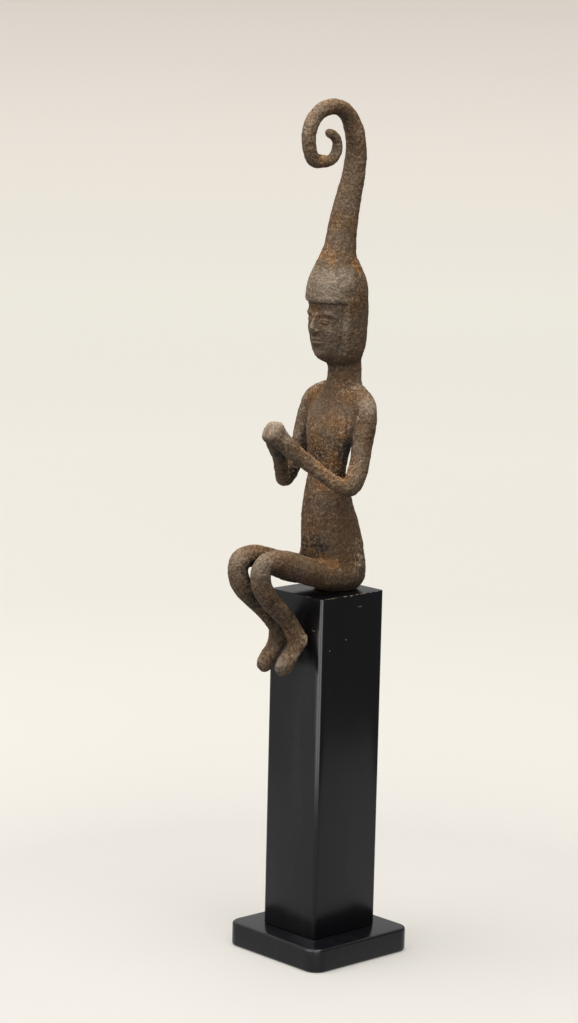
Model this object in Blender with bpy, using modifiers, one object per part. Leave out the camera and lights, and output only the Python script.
"""Seated figure of forged iron with a tall curled horn, on a black pillar with a foot plate."""

import bmesh
import bpy
from math import cos, pi, radians, sin
from mathutils import Matrix, Vector

# Driving sizes of the stand, in metres
PLATE_SIDE = 0.088
PLATE_THICKNESS = 0.016
PLATE_CORNER_RADIUS = 0.010
PLATE_EDGE_ROUND = 0.0016
PILLAR_WIDTH = 0.050
PILLAR_DEPTH = 0.056
PILLAR_HEIGHT = 0.229
PILLAR_CORNER_RADIUS = 0.0022
PILLAR_EDGE_ROUND = 0.0004

# Gap between pieces that touch
CLEARANCE = 0.0003

# Height of the iron figure, from the toes to the top of the horn
FIGURE_HEIGHT = 0.373

# Grain of the forged surface and share of its facets that are kept
VOXEL = FIGURE_HEIGHT / 270
FACETS_KEPT = 0.104

# Heights of the stacked pieces
PILLAR_FOOT = PLATE_THICKNESS + CLEARANCE
PILLAR_TOP = PILLAR_FOOT + PILLAR_HEIGHT
SEAT_LEVEL = PILLAR_TOP + CLEARANCE
PILLAR_FRONT = -PILLAR_DEPTH / 2

# The figure is given in thousandths of its own height: x to its left, y to its back, z up,
# from the middle of the pillar's top front edge
UNIT = FIGURE_HEIGHT / 1000

# Arm, from the collar to the wrist: x, y, z, radius
ARM = (
    (10, 104, 352, 20),
    (38, 100, 346, 21),
    (61, 96, 330, 21.5),
    (69, 92, 306, 19.8),
    (71, 83, 276, 19.2),
    (76, 72, 240, 18.3),
    (82, 58, 211, 18.3),
    (80.5, 46, 196, 17.2),
    (71, 31, 198, 14.4),
    (52, 6, 218, 13),
    (31, -18, 243, 14.8),
    (16, -40, 264, 17),
    (10, -52, 277, 17),
)

# How much farther out, back and up the right arm lies at the same stations, as the smith left it
RIGHT_ARM_SHIFT = (
    (0, 0, 0),
    (2, -1, 0),
    (4, -3, 0),
    (5, -3.5, 0),
    (4, -3, -1),
    (3, -2, -2.5),
    (3, -2, -3.5),
    (2.5, -2, -3.5),
    (2, -1, -3),
    (1, 0, -2),
    (0, 0, 0),
    (0, 0, 0),
    (0, 0, 0),
)

# Leg, from the hip to the ankle: x, y, z, radius
LEG = (
    (31, 96, 36, 30),
    (31, 60, 33, 27),
    (31, 4, 43.5, 25.5),
    (31.5, -45, 62, 23),
    (31, -82, 72, 19.8),
    (30.5, -107, 66, 18.8),
    (29.5, -112.5, 47, 18.6),
    (28, -104, 23, 18.6),
    (25, -86, 3, 18),
    (22, -56, -23, 17.6),
    (20.5, -29, -51, 16.6),
    (21, -21, -66, 15.5),
)

# Horn stem, from the crown to where the curl begins: y, z, radius
HORN_STEM = (
    (80, 556, 38),
    (80, 584, 35),
    (84, 602, 29.5),
    (88, 632, 26.5),
    (95, 667, 24.8),
    (105, 702, 22.8),
    (114, 738, 20.5),
    (117, 772, 18.8),
)

# Curl of the horn, as a wide arc forward and a tight one inside it:
# middle y, middle z, first and last reach, first and last angle, first and last radius of the rod
CURL_ARCS = (
    (57.5, 792.8, 55.3, 54.3, 12, 222, 18.4, 13),
    (47, 780, 27.5, 23, 248, 455, 12.6, 9),
)
CURL_STEPS = 8
CURL_THINNING = 0.33

# Trunk and neck: z, middle y, half width, half depth
TRUNK = (
    (-6, 95, 22, 24),
    (2, 95, 39, 41),
    (14, 95, 49, 52),
    (32, 92, 55, 58.5),
    (54, 87, 55.5, 59),
    (77, 84, 54.5, 57),
    (99, 81, 52.5, 55.5),
    (126, 75, 50, 51),
    (146, 71, 47.5, 47),
    (167, 69, 43.5, 42),
    (193, 68, 39.5, 35),
    (212, 66.5, 37.5, 28.5),
    (230, 67, 41, 28.5),
    (248, 68, 45.5, 29),
    (285, 72, 55, 31),
    (306, 79.5, 60, 30),
    (326, 88, 63, 29),
    (344, 95, 54, 29),
    (358, 100, 41, 30),
    (370, 103, 31, 31.5),
    (390, 103, 28.5, 31),
    (420, 100, 28.5, 31),
)

# Head with its cap: z, middle y, half width, half depth
HEAD = (
    (404, 88, 26, 32),
    (411, 86.5, 37.5, 45),
    (423, 85, 44, 52),
    (435, 84, 46.5, 54.5),
    (460, 82.5, 49, 57),
    (495, 83, 50, 58),
    (525, 80, 51, 59),
    (542, 80, 49.5, 57),
    (559, 80, 45, 52),
    (572, 80, 39, 44),
    (584, 80, 34, 38),
)
CAP_BRIM = 511
CAP_SIDE = 62
FACE_INSET = 4.5

# Foot hanging toes down: z, front y, back y, half width
FOOT = (
    (-56, -39, -8, 17),
    (-66, -37, -2, 22.5),
    (-78, -34, -1.5, 25.5),
    (-90, -39, -8, 23),
    (-102, -54, -19, 20.5),
    (-115, -67, -27, 19.5),
    (-127, -67.5, -33, 17),
    (-134, -62, -39, 13),
    (-138, -54, -45, 8),
)
FOOT_MIDDLE = 24

RING_SIDES = 24


def clear_scene():
    """Remove what the scene holds."""
    for thing in list(bpy.data.objects):
        bpy.data.objects.remove(thing, do_unlink=True)


def new_collection(name):
    group = bpy.data.collections.new(name)
    bpy.context.scene.collection.children.link(group)
    return group


def material(name, colour, roughness, metallic):
    """A plain Principled finish."""
    finish = bpy.data.materials.new(name)
    finish.use_nodes = True
    shader = finish.node_tree.nodes["Principled BSDF"]
    shader.inputs["Base Color"].default_value = (*colour, 1.0)
    shader.inputs["Roughness"].default_value = roughness
    shader.inputs["Metallic"].default_value = metallic
    finish.diffuse_color = (*colour, 1.0)
    return finish


def place(x, y, z):
    """A point of the figure, from thousandths of its height to metres."""
    return Vector((x * UNIT, PILLAR_FRONT + y * UNIT, PILLAR_TOP + z * UNIT))


def add_object(name, mesh, group):
    thing = bpy.data.objects.new(name, mesh)
    group.objects.link(thing)
    return thing


def bmesh_object(name, bm, group):
    mesh = bpy.data.meshes.new(name)
    bm.to_mesh(mesh)
    bm.free()
    return add_object(name, mesh, group)


def tube(name, stations, group):
    """A closed tube through (point, radius) stations, as a mesh."""
    curve = bpy.data.curves.new(name, "CURVE")
    curve.dimensions = "3D"
    curve.bevel_depth = 1.0
    curve.bevel_resolution = 4
    curve.use_fill_caps = True
    curve.resolution_u = 5
    spline = curve.splines.new("BEZIER")
    spline.bezier_points.add(len(stations) - 1)
    for knot, (point, radius) in zip(spline.bezier_points, stations):
        knot.co = point
        knot.radius = radius
        knot.handle_left_type = "AUTO"
        knot.handle_right_type = "AUTO"
    guide = add_object(name + "_line", curve, group)
    bpy.context.view_layer.update()
    evaluated = guide.evaluated_get(bpy.context.evaluated_depsgraph_get())
    mesh = bpy.data.meshes.new_from_object(evaluated)
    bm = bmesh.new()
    bm.from_mesh(mesh)
    bmesh.ops.remove_doubles(bm, verts=bm.verts, dist=1e-6)
    bmesh.ops.recalc_face_normals(bm, faces=bm.faces)
    bm.to_mesh(mesh)
    bm.free()
    solid = add_object(name, mesh, group)
    solid.matrix_world = guide.matrix_world
    bpy.data.objects.remove(guide, do_unlink=True)
    return solid


def loft(name, rings, group):
    """A closed skin through rings of points that run from the bottom to the top."""
    bm = bmesh.new()
    rows = [[bm.verts.new(point) for point in ring] for ring in rings]
    for low, high in zip(rows, rows[1:]):
        for i in range(len(low)):
            j = (i + 1) % len(low)
            bm.faces.new((low[i], low[j], high[j], high[i]))
    bm.faces.new(list(reversed(rows[0])))
    bm.faces.new(rows[-1])
    bmesh.ops.recalc_face_normals(bm, faces=bm.faces)
    return bmesh_object(name, bm, group)


def oval(z, middle, half_width, half_depth):
    """A level ring of the figure around its middle plane."""
    turns = [2 * pi * i / RING_SIDES for i in range(RING_SIDES)]
    return [place(half_width * cos(t), middle + half_depth * sin(t), z) for t in turns]


def ellipsoid(name, centre, halves, tilt, group):
    """An egg shape with half sizes in thousandths, tilted about x."""
    bm = bmesh.new()
    bmesh.ops.create_uvsphere(bm, u_segments=20, v_segments=14, radius=1.0)
    stretch = Matrix.Diagonal((*[half * UNIT for half in halves], 1.0))
    turn = Matrix.Rotation(radians(tilt), 4, "X")
    bmesh.ops.transform(bm, matrix=Matrix.Translation(place(*centre)) @ turn @ stretch, verts=bm.verts)
    return bmesh_object(name, bm, group)


def box(name, low, high, group):
    """A box between two corners, in metres."""
    bm = bmesh.new()
    bmesh.ops.create_cube(bm, size=1.0)
    size = [high[i] - low[i] for i in range(3)]
    middle = [(high[i] + low[i]) / 2 for i in range(3)]
    bmesh.ops.transform(bm, matrix=Matrix.Translation(middle) @ Matrix.Diagonal((*size, 1.0)), verts=bm.verts)
    return bmesh_object(name, bm, group)


def cut(thing, cutter, operation="DIFFERENCE"):
    modifier = thing.modifiers.new(cutter.name, "BOOLEAN")
    modifier.object = cutter
    modifier.operation = operation
    modifier.solver = "EXACT"


def as_guide(thing):
    """Hide a cutter from the picture."""
    thing.hide_render = True
    thing.display_type = "WIRE"


def baked(thing):
    """A thing's shape with its modifiers worked in."""
    bpy.context.view_layer.update()
    evaluated = thing.evaluated_get(bpy.context.evaluated_depsgraph_get())
    return bpy.data.meshes.new_from_object(evaluated)


def joined(name, things, group):
    """One object that holds the shapes of several, which are removed."""
    bm = bmesh.new()
    for thing in things:
        mesh = baked(thing)
        bm.from_mesh(mesh)
        bpy.data.meshes.remove(mesh)
        bpy.data.objects.remove(thing, do_unlink=True)
    return bmesh_object(name, bm, group)


def horn(group):
    """Stem from the crown, then a curl that turns forward, down and back under itself."""
    stations = [(place(0, y, z), radius * UNIT) for y, z, radius in HORN_STEM]
    for middle_y, middle_z, wide, tight, start, end, thick, thin in CURL_ARCS:
        for step in range(CURL_STEPS + 1):
            share = step / CURL_STEPS
            reach = wide + (tight - wide) * share
            turn = radians(start + (end - start) * share)
            point = place(0, middle_y + reach * cos(turn), middle_z + reach * sin(turn))
            stations.append((point, (thick + (thin - thick) * share ** CURL_THINNING) * UNIT))
    return [tube("horn", stations, group)]


def head(group, guides):
    """Cap and side hair as a shell around a slightly sunken face."""
    shell = loft("cap", [oval(*row) for row in HEAD], group)
    face = loft("face", [oval(z, y, w - FACE_INSET / 2, d - FACE_INSET) for z, y, w, d in HEAD[:-3]], group)
    low = place(-80, -80, 380)
    high = place(80, CAP_SIDE, CAP_BRIM)
    window = box("face_window", low, high, guides)
    as_guide(window)
    cut(shell, window)
    pieces = [shell, face]
    pieces.append(ellipsoid("nose", (0, 32, 475), (6.5, 8, 18), 14, group))
    pieces.append(ellipsoid("nose_tip", (0, 29, 463), (9.5, 8, 6), 0, group))
    pieces.append(ellipsoid("upper_lip", (0, 36, 447.5), (14, 8, 3.6), 0, group))
    pieces.append(ellipsoid("lower_lip", (0, 37.5, 440.5), (11, 8, 3.6), 0, group))
    pieces.append(ellipsoid("chin", (0, 50, 424), (17, 15, 9), 0, group))
    for side in (-1, 1):
        pieces.append(ellipsoid("brow", (side * 17, 40, 494), (15, 9, 4), 0, group))
        pieces.append(ellipsoid("eye", (side * 18, 39, 482), (10, 8, 5.2), 0, group))
    return pieces


def hands(group):
    """Two hands pressed together in front of the chest, fingers curled over the top."""
    pieces = []
    for side in (-1, 1):
        pieces.append(ellipsoid("palm", (side * 8, -60, 286), (12, 20, 19), -40, group))
        pieces.append(ellipsoid("knuckles", (side * 6, -60, 295), (12, 15, 17), -25, group))
        pieces.append(ellipsoid("fingertips", (side * 6, -75, 282), (7, 11, 7), -25, group))
    return pieces


def limbs(group):
    """Arms with their shoulders, and legs with their feet, on both sides."""
    pieces = []
    for side in (-1, 1):
        arm = []
        for (x, y, z, radius), (out, back, up) in zip(ARM, RIGHT_ARM_SHIFT):
            if side > 0:
                out, back, up = 0, 0, 0
            arm.append((place(side * (x + out), y + back, z + up), radius * UNIT))
        pieces.append(tube("arm", arm, group))
        leg = [(place(side * x, y, z), radius * UNIT) for x, y, z, radius in LEG]
        pieces.append(tube("leg", leg, group))
        pieces.append(foot(side, group))
    return pieces


def foot(side, group):
    """A hanging foot, ridged along the instep and broad along the sole."""
    rings = []
    for z, front, back, half_width in reversed(FOOT):
        ring = []
        for i in range(RING_SIDES):
            turn = 2 * pi * i / RING_SIDES
            depth = (1 + sin(turn)) / 2
            width = half_width * (0.62 + 0.38 * depth)
            ring.append(place(side * FOOT_MIDDLE + width * cos(turn), front + (back - front) * depth, z))
        rings.append(ring)
    return loft("foot", rings, group)


def figure(group, guides):
    """The whole figure as one forged piece, its seat cut flat to the pillar's top."""
    pieces = [loft("trunk", [oval(*row) for row in TRUNK], group)]
    pieces += horn(group)
    pieces += head(group, guides)
    pieces += hands(group)
    pieces += limbs(group)
    body = joined("figure", pieces, group)
    remesh = body.modifiers.new("one skin", "REMESH")
    remesh.mode = "VOXEL"
    remesh.voxel_size = VOXEL
    soften = body.modifiers.new("hammered soft", "SMOOTH")
    soften.factor = 0.5
    soften.iterations = 4
    thin = body.modifiers.new("facets", "DECIMATE")
    thin.ratio = FACETS_KEPT
    room = box("seat_cut", (-PILLAR_WIDTH / 2 - CLEARANCE, PILLAR_FRONT - CLEARANCE, PILLAR_FOOT),
               (PILLAR_WIDTH / 2 + CLEARANCE, PILLAR_DEPTH / 2 + CLEARANCE, SEAT_LEVEL), guides)
    as_guide(room)
    cut(body, room)
    body.data.materials.append(material("forged iron", (0.115, 0.082, 0.060), 0.62, 0.35))
    return body


def softened(board, corner_radius, corner_steps, edge_round, edge_steps):
    """Round a board's upright corners, then soften its level edges."""
    bm = bmesh.new()
    bm.from_mesh(board.data)
    upright = []
    for edge in bm.edges:
        first, second = edge.verts
        if abs(first.co.z - second.co.z) > edge.calc_length() / 2:
            upright.append(edge)
    bmesh.ops.bevel(bm, geom=upright, offset=corner_radius, segments=corner_steps, profile=0.5, affect="EDGES")
    bm.to_mesh(board.data)
    bm.free()
    edge = board.modifiers.new("edges", "BEVEL")
    edge.width = edge_round
    edge.segments = edge_steps
    edge.limit_method = "ANGLE"
    edge.angle_limit = radians(40)


def pillar(group):
    post = box("pillar", (-PILLAR_WIDTH / 2, PILLAR_FRONT, PILLAR_FOOT),
               (PILLAR_WIDTH / 2, PILLAR_DEPTH / 2, PILLAR_TOP), group)
    softened(post, PILLAR_CORNER_RADIUS, 4, PILLAR_EDGE_ROUND, 2)
    post.data.materials.append(material("black pillar paint", (0.022, 0.022, 0.024), 0.32, 0.0))
    return post


def foot_plate(group):
    """A flat square board with rounded corners and softened edges."""
    half = PLATE_SIDE / 2
    plate = box("foot_plate", (-half, -half, 0), (half, half, PLATE_THICKNESS), group)
    softened(plate, PLATE_CORNER_RADIUS, 8, PLATE_EDGE_ROUND, 3)
    plate.data.materials.append(material("black plate paint", (0.018, 0.018, 0.020), 0.25, 0.0))
    return plate


def main():
    clear_scene()
    group = new_collection("seated iron figure")
    guides = new_collection("cutters")
    for thing in (figure(group, guides), pillar(group), foot_plate(group)):
        if thing.name == "figure":
            thing.data.polygons.foreach_set("use_smooth", [True] * len(thing.data.polygons))


main()
